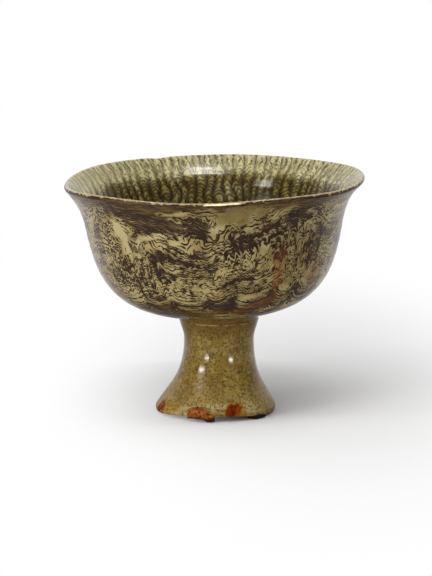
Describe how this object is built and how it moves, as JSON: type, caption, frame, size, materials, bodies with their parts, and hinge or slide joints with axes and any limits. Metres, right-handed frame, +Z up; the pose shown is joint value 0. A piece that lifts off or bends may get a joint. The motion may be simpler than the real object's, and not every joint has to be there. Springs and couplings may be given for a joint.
{
  "type": "footed cup",
  "caption": "Wide stoneware stem cup: round bowl with everted lip luted to a hollow flared foot on kiln wads.",
  "frame": {"origin": "on the resting plane, under the middle of the rim", "axes": "+Z up along the cup's own axis; -Y faces the viewer of the picture"},
  "size_m": [0.1122, 0.1122, 0.0901],
  "materials": {
    "marbled_stoneware": "glazed marbled slip, pale olive with dark brown lines",
    "celadon_glaze": "olive ash glaze with fine brown specks",
    "luting_slip": "glazed slip, browner than the foot",
    "wad_clay": "rust-brown fired clay, matt and gritty"
  },
  "bodies": {
    "root": {"bowl": "marbled_stoneware", "foot": "celadon_glaze", "luting_slip": "luting_slip", "kiln_wad_front_left": "wad_clay", "kiln_wad_front_right": "wad_clay", "kiln_wad_right": "wad_clay", "kiln_wad_back": "wad_clay", "kiln_wad_back_left": "wad_clay"}
  },
  "joints": []
}
